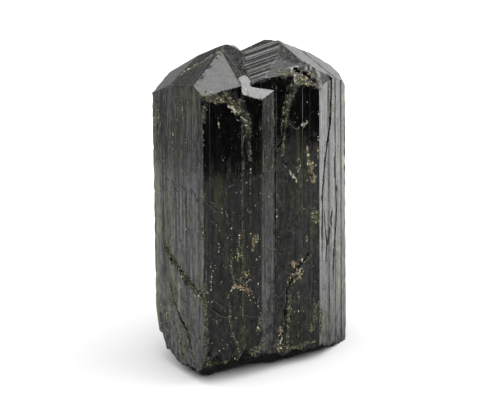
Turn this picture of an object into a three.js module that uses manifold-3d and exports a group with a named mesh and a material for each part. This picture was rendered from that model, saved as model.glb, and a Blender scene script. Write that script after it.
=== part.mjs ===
// Aegirine crystal: a stout prismatic group of parallel individuals that grew as one piece.
// Millimetres, +Z up along the crystals' length. The group is modelled in the frame of its
// front left edge (X along the front wall, Y away from it) and centred on its foot at the end.
import * as THREE from 'three';
import { mergeVertices } from 'three/addons/utils/BufferGeometryUtils.js';
import Module from 'manifold-3d';

const wasm = await Module();
wasm.setup();

// ---- driving dimensions ----
const restLevel = -3.0;        // height of the broken foot's flat part
const blankBottom = -7.0;      // the prisms start below the break
const blankTop = 62.0;         // and end above every termination face
const stepJitter = 0.35;       // how unevenly the growth steps follow each other
const cutterSize = 90.0;       // side of the block that cuts one termination face
const slotOverhang = 1.5;      // a crack's cutter sticks out of the wall this far
const flare = 0.105;           // the right individual widens this much towards the foot
const flareCentre = [13.0, 0.9];
const ledgeRise = 0.06;        // the far part of the right individual stands this much higher

// ---- small tools ----
function seeded(seed) {
  let state = seed;
  return () => {
    state = (state * 16807) % 2147483647;
    return state / 2147483647;
  };
}

const growth = seeded(4711);
const wear = seeded(510424102);
const spread = (amount, draw) => (draw() - 0.5) * 2 * amount;
const radians = THREE.MathUtils.degToRad;

function toSolid(geometry) {
  const bare = geometry.clone();
  bare.deleteAttribute('normal');
  bare.deleteAttribute('uv');
  const merged = mergeVertices(bare, 1e-5);
  const mesh = new wasm.Mesh({
    numProp: 3,
    vertProperties: new Float32Array(merged.attributes.position.array),
    triVerts: new Uint32Array(merged.index.array),
  });
  return new wasm.Manifold(mesh);
}

function toGeometry(solid) {
  const mesh = solid.getMesh();
  const geometry = new THREE.BufferGeometry();
  const corners = new Float32Array(mesh.vertProperties);
  const triangles = new Uint32Array(mesh.triVerts);
  geometry.setAttribute('position', new THREE.BufferAttribute(corners, 3));
  geometry.setIndex(new THREE.BufferAttribute(triangles, 1));
  return geometry;
}

// a value between hand-set stations [place, value], straight between neighbours
function along(stations, place) {
  if (place <= stations[0][0]) return stations[0][1];
  for (let i = 1; i < stations.length; i += 1) {
    const [a, valueA] = stations[i - 1];
    const [b, valueB] = stations[i];
    if (place <= b) return valueA + (valueB - valueA) * (place - a) / (b - a);
  }
  return stations[stations.length - 1][1];
}

function upright(outline, from, to) {
  const settings = { depth: to - from, bevelEnabled: false };
  const geometry = new THREE.ExtrudeGeometry(new THREE.Shape(outline), settings);
  return geometry.translate(0, 0, from);
}

function column(outline, from, to) {
  return toSolid(upright(outline.map((point) => new THREE.Vector2(...point)), from, to));
}

// ---- prism walls: long growth steps parallel to the length ----
// a new level starts about every pitch, up to depth below the wall, over the width of one rise
const calm = { pitch: 1.9, depth: 0.07, rise: 0.12 };
const ribbed = { pitch: 0.8, depth: 0.1, rise: 0.26 };
const plain = { pitch: 30, depth: 0, rise: 0 };

// points of one wall, from its first corner up to its last, stepped in and out of the plane
function steppedWall(from, to, style) {
  const start = new THREE.Vector2(...from);
  const end = new THREE.Vector2(...to);
  const run = end.clone().sub(start);
  const length = run.length();
  const inward = new THREE.Vector2(-run.y, run.x).divideScalar(length);
  const count = Math.max(1, Math.round(length / style.pitch));
  const points = [start];
  let level = 0;
  for (let i = 1; i < count; i += 1) {
    const share = (i + spread(stepJitter, growth)) / count;
    const next = style.depth * growth();
    const onWall = start.clone().addScaledVector(run, share);
    points.push(onWall.clone().addScaledVector(inward, level));
    points.push(onWall.clone().addScaledVector(run, style.rise / length).addScaledVector(inward, next));
    level = next;
  }
  return points;
}

// corners run counter-clockwise: [x, y, style of the wall that starts there]
function individual(corners, widen = 0) {
  const outline = [];
  corners.forEach((corner, i) => {
    const next = corners[(i + 1) % corners.length];
    outline.push(...steppedWall(corner.slice(0, 2), next.slice(0, 2), corner[2]));
  });
  const geometry = upright(outline, blankBottom, blankTop);
  const place = geometry.attributes.position;
  for (let i = 0; i < place.count; i += 1) {
    const share = 1 - (place.getZ(i) - blankBottom) / (blankTop - blankBottom);
    const [centreX, centreY] = flareCentre;
    place.setX(i, centreX + (place.getX(i) - centreX) * (1 + widen * share));
    place.setY(i, centreY + (place.getY(i) - centreY) * (1 + widen * share));
  }
  return toSolid(geometry);
}

// the block of space above a termination face; facing is the compass of its outward normal,
// 0 to the front and 90 to the right, slope is its tilt from level, through is a point on it
function above(facing, slope, through, limits = null) {
  const normal = new THREE.Vector3(
    Math.sin(radians(facing)) * Math.sin(radians(slope)),
    -Math.cos(radians(facing)) * Math.sin(radians(slope)),
    Math.cos(radians(slope)),
  );
  const block = new THREE.BoxGeometry(cutterSize, cutterSize, cutterSize);
  const turn = new THREE.Quaternion().setFromUnitVectors(new THREE.Vector3(0, 0, 1), normal);
  const centre = new THREE.Vector3(...through).addScaledVector(normal, cutterSize / 2);
  block.applyMatrix4(new THREE.Matrix4().compose(centre, turn, new THREE.Vector3(1, 1, 1)));
  const solid = toSolid(block);
  return limits ? solid.intersect(limits) : solid;
}

function region(x0, x1, y0, y1, z0, z1) {
  const box = new THREE.BoxGeometry(x1 - x0, y1 - y0, z1 - z0);
  box.translate((x0 + x1) / 2, (y0 + y1) / 2, (z0 + z1) / 2);
  return toSolid(box);
}

// a prism with its end cut to termination faces [facing, slope, x, y, z]
function terminated(solid, faces) {
  let rest = solid;
  faces.forEach(([facing, slope, ...through]) => {
    rest = rest.subtract(above(facing, slope, through));
  });
  return rest;
}

// ---- the individuals ----
const leftIndividual = terminated(
  individual([
    [0, 0, calm],
    [7.75, 0, plain],
    [7.85, 0.7, plain],
    [8.35, 1.5, plain],
    [9.6, 2.6, plain],
    [13.4, 9.5, plain],
    [13.5, 20.4, calm],
    [8.6, 22.6, calm],
    [4.7, 22.2, calm],
    [-0.9, 17.8, plain],
    [-1.05, 15.6, calm],
  ]),
  [
    [-118.6, 38.6, -0.58, 11.11, 51.08],
    [-102.3, 30.6, 8.69, 9.21, 56.69],
    [-17.1, 26.8, 0.17, 0, 50.98],
    [27.6, 31.1, 8.69, 9.21, 56.69],
    [59.2, 27.0, 11.2, 11.0, 57.04],
    [188, 29.0, 11.2, 11.3, 57.1],
  ],
);

const frontIndividual = terminated(
  individual([
    [7.62, 0.5, plain],
    [8.0, -0.07, plain],
    [9.9, -0.24, calm],
    [11.65, -0.28, plain],
    [14.9, 0.95, plain],
    [14.9, 1.08, plain],
    [11.6, 1.12, plain],
    [10.45, 1.4, plain],
    [9.9, 2.0, plain],
    [9.6, 3.1, plain],
    [8.9, 2.7, plain],
    [7.7, 1.3, plain],
  ]),
  [
    [9.3, 57.2, 11.0, 0.3, 50.32],
    [-150, 40.0, 9.75, 2.2, 53.5],
  ],
);

// a small individual between the three closes the joint behind the sickle-shaped end face
const jointIndividual = terminated(
  individual([
    [9.5, 1.2, plain],
    [11.0, 1.2, plain],
    [12.6, 5.0, plain],
    [12.6, 8.0, plain],
    [11.0, 6.8, plain],
    [9.2, 3.2, plain],
  ]),
  [
    [27.0, 30.0, 9.4, 3.36, 53.0],
  ],
);

const rightBlank = individual([
  [10.25, 0.9, calm],
  [24.0, 0.9, ribbed],
  [33.0, 6.4, ribbed],
  [34.2, 9.2, ribbed],
  [34.1, 13.2, calm],
  [30.6, 20.2, calm],
  [20.0, 21.5, calm],
  [12.0, 20.0, plain],
  [11.2, 4.4, plain],
  [10.55, 2.3, plain],
], flare);

const rightFaces = [
  [-33.2, 20.9, 20.84, 9.5, 57.08],
  [-6.5, 26.4, 18.83, 4.14, 54.57],
  [2.7, 28.7, 18.83, 4.14, 54.57],
  [5.5, 26.0, 20.84, 9.5, 57.08],
  [-145, 28.6, 18.58, 11.03, 57.3],
  [145, 25.0, 20.84, 9.5, 57.38],
  [120, 38.0, 31.6, 14.2, 52.1],
  [62, 62.0, 34.2, 8.8, 48.6],
];

const slopingFace = [59.2, 34.1, 20.84, 9.5, 57.08];
const rightIndividual = terminated(rightBlank, [...rightFaces, slopingFace]);

// the far part of the right individual is a thin raised ledge on the same sloping face
const ledgeOutline = [[31.5, 2], [40, 2], [40, 26], [25.2, 26], [26.9, 13.4]];
const ledgeBottom = 40.0;
const raised = ([facing, slope, x, y, z]) => [facing, slope, x, y, z + ledgeRise];
const farLedge = terminated(
  rightBlank.intersect(column(ledgeOutline, ledgeBottom, blankTop)),
  [...rightFaces, slopingFace].map(raised),
);

const backLeftIndividual = terminated(
  individual([
    [7.2, 17.5, plain],
    [17.0, 17.0, plain],
    [17.3, 22.2, calm],
    [13.2, 24.2, calm],
    [7.9, 23.6, ribbed],
  ]),
  [
    [150, 34, 11.8, 20.0, 49.6],
    [-120, 42, 9.6, 20.4, 49.2],
    [60, 52, 15.8, 20.0, 49.3],
  ],
);

const backRightIndividual = terminated(
  individual([
    [18.5, 17.0, plain],
    [30.4, 17.0, plain],
    [30.2, 21.9, calm],
    [25.4, 23.6, calm],
    [19.4, 23.1, ribbed],
  ], flare / 2),
  [
    [168, 31, 24.5, 18.8, 52.6],
    [-110, 46, 20.6, 19.5, 51.6],
    [95, 44, 28.8, 19.5, 51.2],
  ],
);

// ---- the broken foot: a level rest with a chipped rim ----
// along each side, the rim's height above the rest and how far in from the wall it reaches
const footLeft = -0.8;
const footRight = 36.4;
const footBack = 22.6;
const frontRim = [
  [-1, 5.2], [3, 5.2], [7, 4.45], [14, 4.1], [16, 3.3], [19, 3.7], [24, 3.8], [26, 3.2], [28, 3.2],
  [29.5, 3.3], [31, 2.2],
];
const frontReach = [
  [-1, 4.2], [7, 4.8], [11, 5.5], [14, 4.9], [17, 3.6], [22, 4.6], [26, 4.8], [28, 5.4], [29.5, 5.6],
  [31, 5.2],
];
const leftRim = [
  [0, 3.4], [2, 3.0], [5, 2.6], [9, 2.2], [11, 2.2], [14, 3.2], [15.2, 5.2], [16.5, 7.2], [18, 9.3],
  [21, 7.0],
];
const leftReach = [[0, 3.0], [10, 3.6], [14, 5.2], [18, 7.0]];
const backRim = [[3, 4.4], [8, 2.4], [14, 1.4], [20, 2.5], [27, 1.6], [33, 1.8]];
const backReach = [[3, 5.0], [8, 3.2], [20, 3.8], [33, 2.8]];
const rightRim = [[3, 0.2], [8, 0.3], [12, 1.2], [16, 0.6]];
const rightReach = 1.6;
const rimRoughness = 0.28;
const hollowDepth = 0.7;       // shallow shell-shaped hollows between the flats the crystal rests on
const hollowEdge = 0.42;       // the higher, the smaller the hollows

function hollow(x, y) {
  const wave = Math.sin(0.52 * x + 0.9) * Math.sin(0.74 * y + 0.25 * x) + 0.3 * Math.sin(1.4 * x - 0.9 * y);
  return hollowDepth * Math.max(0, wave - hollowEdge);
}

function breakLevel(x, y) {
  const rims = [
    [along(frontRim, x), along(frontReach, x), y],
    [along(leftRim, y), along(leftReach, y), x - footLeft],
    [along(backRim, x), along(backReach, x), footBack - y],
    [along(rightRim, y), rightReach, footRight - x],
  ];
  const chip = Math.max(...rims.map(([height, reach, inside]) => height * (1 - inside / reach)));
  const rise = Math.max(chip, hollow(x, y));
  return rise > 0 ? restLevel + rise * (1 + spread(rimRoughness, wear)) : restLevel;
}

// the block of space below the break: its top is a grid of corners set to the break's level
const footBlock = { width: 44, depth: 32, height: 8, cell: 4 / 3, centre: [17, 11] };

function brokenFoot() {
  const { width, depth, height, cell, centre } = footBlock;
  const block = new THREE.BoxGeometry(width, depth, height, width / cell, depth / cell, 1);
  block.translate(...centre, restLevel - height / 2);
  const place = block.attributes.position;
  const levels = new Map();
  for (let i = 0; i < place.count; i += 1) {
    if (place.getZ(i) < restLevel - height / 2) continue;
    const key = `${place.getX(i).toFixed(3)},${place.getY(i).toFixed(3)}`;
    if (!levels.has(key)) levels.set(key, breakLevel(place.getX(i), place.getY(i)));
    place.setZ(i, levels.get(key));
  }
  return toSolid(block);
}

// ---- frames that lie on the walls: X along the wall to the right, Y up, Z out of the wall ----
function wallFrame(x, y, direction) {
  const right = new THREE.Vector3(Math.cos(radians(direction)), Math.sin(radians(direction)), 0);
  const up = new THREE.Vector3(0, 0, 1);
  const out = new THREE.Vector3().crossVectors(right, up);
  return new THREE.Matrix4().makeBasis(right, up, out).setPosition(x, y, 0);
}

const leftWallLength = 17.6;
const leftWallLean = radians(3);
const leftWall = wallFrame(
  -leftWallLength * Math.sin(leftWallLean), leftWallLength * Math.cos(leftWallLean), -87,
);
const frontWall = wallFrame(0, 0, 0);
const innerWall = wallFrame(0, 0.9, 0);
const rightWall = wallFrame(24.8, 0.9, 32.3);
const backWall = wallFrame(31.0, 24.1, 178);
const backLeftWall = wallFrame(4.7, 22.3, -137);

// a crack: a thin ragged slot along a path of [across, up, half width] on a wall
function crack(frame, path, depth) {
  const sides = [[], []];
  path.forEach(([across, up, half], i) => {
    const before = path[Math.max(0, i - 1)];
    const after = path[Math.min(path.length - 1, i + 1)];
    const run = new THREE.Vector2(after[0] - before[0], after[1] - before[1]).normalize();
    const side = new THREE.Vector2(-run.y, run.x).multiplyScalar(half);
    sides[0].push(new THREE.Vector2(across + side.x, up + side.y));
    sides[1].unshift(new THREE.Vector2(across - side.x, up - side.y));
  });
  const slot = new THREE.ExtrudeGeometry(new THREE.Shape([...sides[0], ...sides[1]]), {
    depth: depth + slotOverhang,
    bevelEnabled: false,
  });
  slot.translate(0, 0, -depth);
  slot.applyMatrix4(frame);
  return toSolid(slot);
}

const grainJitter = 0.34;

// a rough grain: a lumpy ball squeezed to its half sizes, used to add crumbs and to cut pits
function grain(frame, across, up, out, [halfWidth, halfHeight, halfDepth], lean = 0) {
  const rough = new THREE.IcosahedronGeometry(1, 1);
  const ball = mergeVertices(rough.deleteAttribute('uv').deleteAttribute('normal'));
  const place = ball.attributes.position;
  for (let i = 0; i < place.count; i += 1) {
    const size = 1 + spread(grainJitter, wear);
    place.setXYZ(i, place.getX(i) * size, place.getY(i) * size, place.getZ(i) * size);
  }
  ball.scale(halfWidth, halfHeight, halfDepth);
  ball.rotateZ(radians(lean));
  ball.translate(across, up, out);
  ball.applyMatrix4(frame);
  return toSolid(ball);
}

// ---- joining and wearing ----
let crystal = leftIndividual;
const neighbours = [
  frontIndividual, jointIndividual, rightIndividual, farLedge, backLeftIndividual, backRightIndividual,
];
neighbours.forEach((piece) => {
  crystal = crystal.add(piece);
});

// the front corner of the right individual's end is chipped off in two facets
const chippedCorner = region(18.9, 30, -2, 5, 45, 60);
crystal = crystal.subtract(above(8, 58, [20.0, 0.9, 50.9], chippedCorner));
crystal = crystal.subtract(above(25, 53, [24.15, 0.9, 49.6], chippedCorner));

// cracks: paths of [across, up, half width], and the depth of each
const cuts = [
  brokenFoot(),
  // the two deep crevices of the right wall
  crack(rightWall, [
    [4.6, 56, 0.42], [4.5, 51.1, 0.4], [4.4, 46.5, 0.3], [4.2, 42.7, 0.32], [3.1, 38.6, 0.26],
    [2.1, 35.6, 0.26], [1.5, 31.5, 0.14], [1.1, 28.3, 0.18], [1.2, 22.0, 0.1], [1.2, 16.5, 0.04],
  ], 1.4),
  crack(rightWall, [
    [7.2, 29.6, 0.06], [7.2, 25.5, 0.2], [7.0, 21.8, 0.14], [6.3, 18.0, 0.24], [6.1, 13.5, 0.1],
    [5.8, 9.1, 0.12],
  ], 1.1),
  // the black crack and the groove between the front strip and the right individual
  crack(innerWall, [
    [17.3, 47.6, 0.06], [17.0, 46.1, 0.2], [16.9, 43.2, 0.24], [16.3, 40.7, 0.2], [15.2, 39.0, 0.1],
  ], 0.9),
  crack(innerWall, [
    [15.1, 50.5, 0.14], [15.2, 42, 0.08], [15.2, 30, 0.1], [15.2, 20, 0.06], [15.2, 9, 0.04],
  ], 0.6),
  // the lower crack, from the pit cluster down to the foot
  crack(innerWall, [
    [22.7, 18.6, 0.05], [21.1, 17.0, 0.16], [19.4, 15.0, 0.24], [18.0, 12.3, 0.2], [17.4, 8.1, 0.12],
    [17.6, 1.4, 0.05],
  ], 0.8),
  // the open crack at the left wall's foot and the chipped band above it
  crack(leftWall, [
    [5.6, 13.0, 0.03], [7.6, 9.6, 0.07], [8.8, 7.9, 0.22], [11.3, 6.1, 0.14], [13.1, 2.4, 0.06],
    [14.0, 0.4, 0.04],
  ], 1.1),
  crack(leftWall, [
    [3.5, 20.3, 0.05], [6.2, 18.7, 0.24], [7.7, 18.1, 0.12], [9.8, 16.9, 0.2], [11.6, 15.9, 0.22],
    [14.4, 15.0, 0.1], [17.4, 14.2, 0.12],
  ], 0.45),
  // two more on the far side
  crack(backWall, [
    [3.2, 38.5, 0.05], [4.4, 35.0, 0.2], [4.1, 31.0, 0.26], [5.2, 26.5, 0.16], [5.0, 21.0, 0.06],
  ], 1.3),
  crack(backLeftWall, [
    [0.6, 30.5, 0.05], [2.4, 28.8, 0.18], [4.2, 28.0, 0.12], [6.0, 25.6, 0.18], [7.2, 24.9, 0.05],
  ], 0.7),
];

// pits, in the lower crack, in the orange nest and along the damaged edges:
// [wall, across, up, out, half sizes, lean]
const pits = [
  [innerWall, 19.4, 15.3, 0, [0.95, 1.5, 0.7], -25],
  [innerWall, 20.6, 16.6, 0, [0.7, 0.9, 0.5], 30],
  [innerWall, 18.1, 12.0, 0, [0.5, 1.1, 0.6], -15],
  [innerWall, 17.5, 7.6, 0, [0.45, 1.2, 0.5], 5],
  [innerWall, 17.1, 36.3, 0, [0.5, 0.45, 0.4], 0],
  [innerWall, 19.85, 36.0, 0, [0.6, 0.75, 0.4], 0],
  [innerWall, 22.7, 34.2, 0, [0.45, 1.5, 0.3], 8],
  [innerWall, 18.1, 49.6, 0, [0.7, 1.9, 0.6], -20],
  [frontWall, 8.6, 16.4, 0, [1.2, 1.2, 0.6], 20],
  [frontWall, 7.2, 22.6, 0, [0.4, 2.2, 0.35], 4],
  [frontWall, 10.1, 23.2, 0.35, [0.45, 1.6, 0.4], -18],
  [frontWall, 7.4, 46.6, 0, [0.8, 1.3, 0.5], 35],
  [frontWall, 8.9, 42.0, 0, [0.5, 2.0, 0.4], -4],
  [frontWall, 5.6, 49.9, 0, [1.5, 0.7, 0.6], -20],
  [frontWall, 0.2, 49.6, 0, [0.7, 1.5, 0.7], 10],
  [frontWall, 0.1, 18.0, 0, [0.35, 2.4, 0.35], 0],
  [frontWall, 1.2, 2.6, 0, [1.0, 1.3, 0.8], 0],
  [leftWall, 6.4, 18.4, 0, [1.0, 0.7, 0.4], 30],
  [leftWall, 11.9, 15.6, 0, [1.3, 0.6, 0.4], 25],
  [leftWall, 2.2, 5.5, 0.3, [0.6, 1.5, 0.5], 10],
  [backWall, 10.2, 14.2, 0.1, [1.2, 1.7, 0.9], 20],
  [backWall, 20.4, 40.2, 0, [0.8, 1.4, 0.8], -10],
  [backLeftWall, 3.4, 12.6, 0, [0.9, 1.3, 0.5], 15],
  [innerWall, 20.4, 53.1, -1.4, [1.0, 0.5, 0.8], -20],
  [innerWall, 22.3, 52.0, -1.3, [1.2, 0.5, 0.9], -30],
  [innerWall, 23.6, 51.0, -0.9, [0.8, 0.4, 0.7], -35],
];

// crumbs of crust that grew on the edges and in the pits, fused to the crystal
const crumbs = [
  [innerWall, 19.2, 15.0, -0.3, [0.5, 0.6, 0.4], 0],
  [innerWall, 20.1, 16.9, -0.4, [0.5, 0.5, 0.5], 20],
  [innerWall, 22.8, 34.6, -0.1, [0.3, 0.7, 0.3], 5],
  [innerWall, 19.4, 33.4, -0.1, [0.5, 0.25, 0.3], -15],
  [innerWall, 17.9, 48.6, -0.3, [0.5, 0.9, 0.4], -15],
  [innerWall, 18.3, 50.6, -0.45, [0.5, 0.6, 0.5], -25],
  [innerWall, 21.0, 53.0, -1.6, [0.6, 0.3, 0.5], -20],
  [innerWall, 22.9, 51.9, -1.3, [0.6, 0.35, 0.5], -30],
  [innerWall, 20.2, 3.0, -0.2, [0.4, 0.9, 0.3], 0],
  [frontWall, 8.2, 14.6, -0.1, [1.5, 0.35, 0.4], -14],
  [frontWall, 8.7, 16.8, -0.3, [0.5, 0.6, 0.4], 10],
  [frontWall, 7.1, 23.4, -0.1, [0.25, 0.9, 0.25], 5],
  [frontWall, 7.3, 47.6, -0.2, [0.8, 0.5, 0.4], -35],
  [frontWall, 8.0, 46.0, -0.2, [0.5, 0.7, 0.4], 20],
  [frontWall, 5.0, 50.5, -0.2, [0.7, 0.4, 0.4], -10],
  [frontWall, 0.5, 49.0, -0.2, [0.35, 0.7, 0.3], 0],
  [frontWall, 10.8, 2.4, -0.2, [1.3, 0.5, 0.4], 12],
  [leftWall, 6.7, 18.8, -0.1, [0.6, 0.4, 0.3], 30],
  [leftWall, 16.4, 15.0, -0.1, [0.6, 0.5, 0.3], 40],
];

pits.forEach((pit) => {
  cuts.push(grain(...pit));
});
cuts.forEach((cut) => {
  crystal = crystal.subtract(cut);
});
crumbs.forEach((crumb) => {
  crystal = crystal.add(grain(...crumb));
});

// ---- the finished part, centred on its foot ----
const geometry = toGeometry(crystal);
geometry.computeBoundingBox();
const { min, max } = geometry.boundingBox;
geometry.translate(-(min.x + max.x) / 2, -(min.y + max.y) / 2, -min.z);

const blackGreenStone = new THREE.MeshStandardMaterial({
  color: 0x1b2119,
  roughness: 0.28,
  metalness: 0,
});
const aegirineCrystal = new THREE.Mesh(geometry, blackGreenStone);
aegirineCrystal.name = 'aegirine_crystal';

const part = new THREE.Group();
part.add(aegirineCrystal);

export default part;
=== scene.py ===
import math
import random

import bmesh
import bpy
import numpy as np
from mathutils import Matrix, Vector, noise
from mathutils.bvhtree import BVHTree
from mathutils.kdtree import KDTree


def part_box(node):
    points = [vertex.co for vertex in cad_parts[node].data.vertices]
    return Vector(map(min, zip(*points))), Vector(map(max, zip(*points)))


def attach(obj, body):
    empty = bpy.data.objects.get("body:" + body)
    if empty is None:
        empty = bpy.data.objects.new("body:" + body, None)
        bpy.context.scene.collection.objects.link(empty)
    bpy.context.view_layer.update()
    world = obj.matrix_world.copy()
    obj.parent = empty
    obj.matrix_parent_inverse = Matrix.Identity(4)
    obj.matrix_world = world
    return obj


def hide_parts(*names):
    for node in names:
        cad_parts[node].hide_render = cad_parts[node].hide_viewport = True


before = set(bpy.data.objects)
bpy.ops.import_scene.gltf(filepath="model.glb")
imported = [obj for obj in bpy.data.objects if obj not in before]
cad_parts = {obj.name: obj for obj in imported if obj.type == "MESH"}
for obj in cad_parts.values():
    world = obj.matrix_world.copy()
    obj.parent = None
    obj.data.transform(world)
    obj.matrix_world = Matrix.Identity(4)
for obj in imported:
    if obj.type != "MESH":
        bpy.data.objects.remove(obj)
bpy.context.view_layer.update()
print("frame loaded")

mm = 0.001
scene = bpy.context.scene
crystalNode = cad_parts["aegirine_crystal"]
boxLow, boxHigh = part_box("aegirine_crystal")

# The crystal's own frame: its front left edge stands at the origin, X runs along the front wall
# and Y away from it. Places on the crystal are given there, in millimetres.
edgeFromBox = Vector((1.05, 0.313, 3.0))
edgeOrigin = boxLow + edgeFromBox * mm


def onCrystal(x, y, z):
    return edgeOrigin + Vector((x, y, z)) * mm


# Each wall is a plan origin and the direction in which it runs to the right.
walls = {
    "left": ((-0.92, 17.58), -87.0),
    "front": ((0.0, 0.0), 0.0),
    "inner": ((0.0, 0.9), 0.0),
    "right": ((24.8, 0.9), 32.3),
    "back": ((31.0, 24.1), 178.0),
    "backLeft": ((4.7, 22.3), -137.0),
}


def onWall(name, across, up):
    (x, y), turn = walls[name]
    turn = math.radians(turn)
    return onCrystal(x + across * math.cos(turn), y + across * math.sin(turn), up)


# Cracks, veins and stains follow paths: wall (or None where the points are x, y, z), radius in mm
# and points
crustVeins = [
    ("front", 0.55, [(4.4, 50.8), (6.4, 48.8), (8.1, 46.9), (8.7, 45.8)]),
    ("front", 0.34, [(8.7, 45.8), (8.9, 44.4), (9, 43)]),
    ("front", 0.2, [(9, 43), (9.35, 38.5)]),
    ("front", 0.12, [(9.35, 38.5), (9.35, 31.2), (9.5, 23.6)]),
    ("front", 0.25, [(0.2, 50.4), (0.25, 48.6), (0.15, 46.9)]),
    ("front", 0.3, [(0.25, 17), (0.3, 12), (0.35, 8), (0.3, 4.5)]),
    ("front", 0.6, [(0.4, 2.6), (1.2, 1.4), (2.2, 0.6)]),
    ("front", 0.16, [(4.9, 14), (5.2, 11.5), (5.4, 9), (5.9, 6), (6.9, 3.9), (7.6, 0.6)]),
    ("front", 0.14, [(5.5, 21.4), (5.7, 18.6), (6.1, 16.3), (6.4, 15.5)]),
    ("front", 0.5, [(9.4, 1.6), (10.8, 2.3), (12, 2.6)]),
    ("front", 0.3, [(1, 0.9), (3.5, 1.2), (6, 0.6), (8.6, 0.7)]),
    ("front", 0.28, [(11.4, 9.2), (11.2, 7.4), (10.8, 5.6)]),
    ("inner", 0.42, [(21.8, 51.6), (20.2, 51.2), (19.1, 50.4), (18.5, 49.2), (17.8, 47.8),
                     (17.1, 46), (16.9, 43.3)]),
    ("inner", 0.16, [(16.9, 43.3), (16.85, 41), (16.7, 38)]),
    ("inner", 0.3, [(22.6, 18.3), (21.1, 17.3), (19.6, 15.2), (18.2, 12.4)]),
    ("inner", 0.3, [(18.5, 11), (18.3, 8), (18, 5), (17.9, 2.2), (17.7, 0.4)]),
    ("inner", 0.45, [(15.9, 2.4), (15.8, 1.2), (16.8, 0.7), (17.8, 1.1)]),
    ("inner", 0.36, [(24.2, 8.2), (24.1, 6.4), (23.8, 4.8), (23.3, 3.3)]),
    ("inner", 0.3, [(18.6, 0.5), (20.6, 0.4), (22.4, 0.6), (23.9, 0.8)]),
    ("inner", 0.45, [(23.7, 26.6), (23.6, 25.6), (24.1, 25)]),
    ("left", 0.5, [(3.7, 20.1), (6.2, 18.6), (7.7, 18.1), (9.6, 17), (11.6, 15.9), (14.2, 14.9),
                   (17.4, 14.1)]),
    ("left", 0.28, [(6.3, 13.4), (6.5, 11.4), (6.7, 9.6)]),
    ("left", 0.2, [(11.4, 5.9), (12.4, 3.9), (13.1, 2.2), (13.7, 0.2)]),
    ("left", 0.3, [(3.2, 9), (3.7, 6.6), (3.9, 4.6)]),
    ("left", 0.3, [(16.9, 27.6), (17.1, 25.9)]),
    ("left", 0.22, [(2.3, 47.2), (2.4, 43.5), (2.2, 40.5)]),
    ("right", 0.16, [(4.3, 47), (4.1, 42), (2.8, 37.4), (2.1, 34.4), (1.2, 30)]),
    ("right", 0.3, [(0.5, 6.8), (0.9, 4.4), (0.7, 2.2)]),
    ("back", 0.5, [(3.2, 38.5), (4.4, 35), (4.1, 31), (5.2, 26.5), (5, 21)]),
    ("back", 0.7, [(9.6, 15.6), (10.2, 13.6), (11.4, 12.8)]),
    ("back", 0.35, [(20.4, 41.5), (20.6, 38.4), (20.1, 33), (20.6, 26)]),
    ("backLeft", 0.4, [(0.6, 30.5), (2.4, 28.8), (4.2, 28), (6, 25.6), (7.2, 24.9)]),
    (None, 0.5, [(-0.2, 0.3, 50.9), (0.5, -0.1, 50.6), (1.9, 0, 50.6), (3.4, 0, 50.1)]),
    (None, 0.3, [(3.4, 0, 50.1), (5.4, 0, 49.6), (7.4, 0, 49.2)]),
    (None, 0.34, [(1.6, 12.6, 52.4), (4.4, 11.2, 54.3), (7, 10, 55.9), (8.7, 9.3, 56.6)]),
    (None, 0.55, [(16.8, 1, 52.9), (17.9, 1.3, 53.2), (19.2, 1.1, 53)]),
    (None, 0.5, [(19, 1.2, 53.2), (20.4, 1.5, 53), (21.9, 1.8, 52.8), (23.4, 2.4, 52.5),
                 (24.9, 2.8, 52.1)]),
    (None, 0.5, [(0.5, 0.4, 1.9), (1.3, 1.2, 1.1), (2.6, 1.6, 0.5), (4.4, 2.2, 0.2)]),
    (None, 0.7, [(20.4, 0.9, 51.6), (21.6, 0.9, 51.9), (23, 1.2, 51.4), (24, 1.2, 50.6)]),
    (None, 0.28, [(22.4, 3.9, 54.3), (23.9, 3.6, 53.6)]),
    (None, 0.3, [(24, 0.9, 50.3), (24.6, 1.1, 51.2), (25.4, 2, 52)]),
]
tanVeins = [
    ("front", 0.3, [(7.3, 25.2), (7.1, 22.8), (6.9, 20.3)]),
    ("front", 0.34, [(10.6, 25), (10.3, 23.4), (9.8, 21.8)]),
    ("front", 0.38, [(8, 17.8), (8.9, 17.4), (9.2, 16.4), (8.4, 15.7), (7.8, 16.6)]),
    ("front", 0.4, [(6.3, 15.5), (7.4, 14.9), (8.6, 14.5), (9.7, 13.8)]),
    ("inner", 0.16, [(21.7, 39.4), (21.8, 38.4), (21.9, 37.4), (22.2, 36.5)]),
    ("inner", 0.42, [(22.4, 36.1), (22.8, 35.2), (22.5, 34.4)]),
    ("inner", 0.34, [(22.9, 34), (23.3, 33.2), (23.2, 32.4)]),
    ("inner", 0.14, [(19.5, 36.6), (20.1, 36.8), (20.4, 36.1), (20.2, 35.3), (19.8, 34.7)]),
    ("inner", 0.42, [(19, 17.4), (19.4, 16.6), (20.2, 15.6), (20.6, 14.6), (19.2, 13.8),
                     (18.9, 15)]),
    ("inner", 0.2, [(16.2, 5.6), (16.5, 4.6), (16.4, 3.8)]),
    ("inner", 0.3, [(20, 52.3), (21.4, 52), (22.4, 51.6)]),
    ("left", 0.24, [(3.8, 6.6), (4.1, 4.6), (4.2, 3.6)]),
    (None, 0.22, [(1.2, 1, 51.6), (1, 0.4, 51.2)]),
]
rustVeins = [
    ("front", 0.3, [(6.3, 15.4), (7.2, 14.9), (8.4, 14.5), (9.3, 13.9)]),
    ("inner", 0.14, [(19.2, 17.3), (19.6, 16.7)]),
    ("inner", 0.12, [(16.2, 5), (16.4, 4.4)]),
]
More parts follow.
